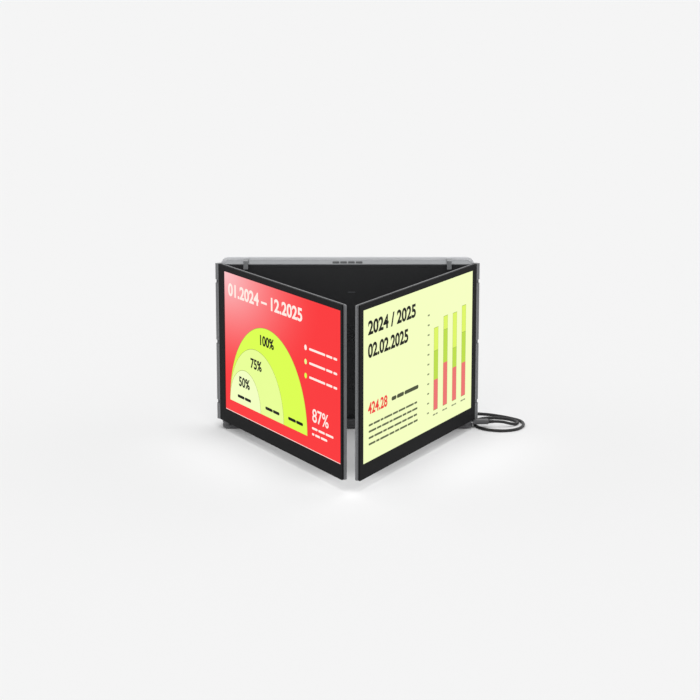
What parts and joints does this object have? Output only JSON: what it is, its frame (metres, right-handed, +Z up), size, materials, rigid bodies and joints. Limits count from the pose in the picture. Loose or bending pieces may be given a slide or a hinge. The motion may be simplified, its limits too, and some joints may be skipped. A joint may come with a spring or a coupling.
{
  "type": "laptop screen extender",
  "caption": "Free-standing screen extender: side screens on vertical hinges at a centre unit with a low dock base, swing-out feet, lid hooks, top keys and a USB-C cable.",
  "frame": {"origin": "middle of the rubber strip under the dock base, on the table", "axes": "+X to the viewer's right along the centre unit, +Y to the back, +Z up"},
  "size_m": [0.3897, 0.4443, 0.2152],
  "materials": {
    "dock_plastic": "fine matt texture",
    "frame_plastic": "satin black",
    "screen_shell_metal": "dark grey anodised look",
    "housing_aluminium": "bead blasted",
    "bezel_plastic": "satin",
    "display_left": "lit display under glass",
    "display_right": "lit display under glass",
    "panel_metal": "plain",
    "hinge_steel": "dark brushed",
    "screw_steel": "blackened",
    "ballast_steel": "zinc plated",
    "board_green": "solder mask",
    "port_steel": "nickel",
    "rubber": "matt",
    "key_plastic": "smooth",
    "hook_metal": "satin grey",
    "lamp_plastic": "clear, lit",
    "cable_jacket": "smooth",
    "plug_plastic": "satin"
  },
  "bodies": {
    "stand": {"base_lower_shell": "dock_plastic", "base_upper_shell": "dock_plastic", "base_ballast": "ballast_steel", "base_rubber_strip": "rubber", "base_shell_screws": "screw_steel", "frame_screws": "screw_steel", "dock_board": "board_green", "usb_port_left": "port_steel", "usb_port_right": "port_steel", "swing_foot_rivets": "hinge_steel", "centre_frame": "frame_plastic", "top_trim": "housing_aluminium", "upper_cover": "frame_plastic", "lower_cover": "frame_plastic", "vent_screen": "hinge_steel", "status_lamp": "lamp_plastic", "rear_housing": "housing_aluminium", "housing_screws": "screw_steel", "video_board": "board_green", "hinge_arms_left": "hinge_steel", "hinge_arms_right": "hinge_steel", "hinge_arm_screws_left": "screw_steel", "hinge_arm_screws_right": "screw_steel", "key_switch_board": "board_green", "usb_cable": "cable_jacket", "dock_plug_body": "plug_plastic", "dock_plug_relief": "cable_jacket", "dock_plug_shell": "port_steel", "free_plug_body": "plug_plastic", "free_plug_relief": "cable_jacket", "free_plug_shell": "port_steel"},
    "left_screen": {"left_rear_shell": "screen_shell_metal", "left_front_frame": "bezel_plastic", "left_display_module": "panel_metal", "left_cover_glass": "display_left", "left_driver_board": "board_green", "left_hinge_rail": "screen_shell_metal", "left_hinge_pin": "hinge_steel", "left_screws": "screw_steel"},
    "right_screen": {"right_rear_shell": "screen_shell_metal", "right_front_frame": "bezel_plastic", "right_display_module": "panel_metal", "right_cover_glass": "display_right", "right_driver_board": "board_green", "right_hinge_rail": "screen_shell_metal", "right_hinge_pin": "hinge_steel", "right_screws": "screw_steel"},
    "left_foot": {"swing_foot_left": "dock_plastic", "swing_foot_pad_left": "rubber"},
    "right_foot": {"swing_foot_right": "dock_plastic", "swing_foot_pad_right": "rubber"},
    "left_hook": {"lid_hook_left": "hook_metal"},
    "right_hook": {"lid_hook_right": "hook_metal"},
    "key_1": {"control_key_1": "key_plastic"},
    "key_2": {"control_key_2": "key_plastic"},
    "key_3": {"control_key_3": "key_plastic"},
    "key_4": {"control_key_4": "key_plastic"}
  },
  "joints": [
    {"name": "left_screen_swing", "type": "hinge", "parent": "stand", "child": "left_screen", "pos_m": [-0.1605, -0.009, 0.1105], "axis": [0, 0, -1], "range_deg": [0, 173]},
    {"name": "right_screen_swing", "type": "hinge", "parent": "stand", "child": "right_screen", "pos_m": [0.1605, -0.009, 0.1105], "axis": [0, 0, 1], "range_deg": [0, 173]},
    {"name": "left_foot_swing", "type": "hinge", "parent": "stand", "child": "left_foot", "pos_m": [-0.03, -0.028, 0.003], "axis": [0, 0, -1], "range_deg": [0, 90]},
    {"name": "right_foot_swing", "type": "hinge", "parent": "stand", "child": "right_foot", "pos_m": [0.03, -0.028, 0.003], "axis": [0, 0, 1], "range_deg": [0, 90]},
    {"name": "left_hook_slide", "type": "slide", "parent": "stand", "child": "left_hook", "axis": [0, 0, 1], "range_m": [0, 0.04]},
    {"name": "right_hook_slide", "type": "slide", "parent": "stand", "child": "right_hook", "axis": [0, 0, 1], "range_m": [0, 0.04]},
    {"name": "key_1_press", "type": "slide", "parent": "stand", "child": "key_1", "axis": [0, 0.3714, -0.9285], "range_m": [0, 0.0008], "stiffness_N_per_m": 600, "springref_m": -0.0004},
    {"name": "key_2_press", "type": "slide", "parent": "stand", "child": "key_2", "axis": [0, 0.3714, -0.9285], "range_m": [0, 0.0008], "stiffness_N_per_m": 600, "springref_m": -0.0004},
    {"name": "key_3_press", "type": "slide", "parent": "stand", "child": "key_3", "axis": [0, 0.3714, -0.9285], "range_m": [0, 0.0008], "stiffness_N_per_m": 600, "springref_m": -0.0004},
    {"name": "key_4_press", "type": "slide", "parent": "stand", "child": "key_4", "axis": [0, 0.3714, -0.9285], "range_m": [0, 0.0008], "stiffness_N_per_m": 600, "springref_m": -0.0004}
  ]
}
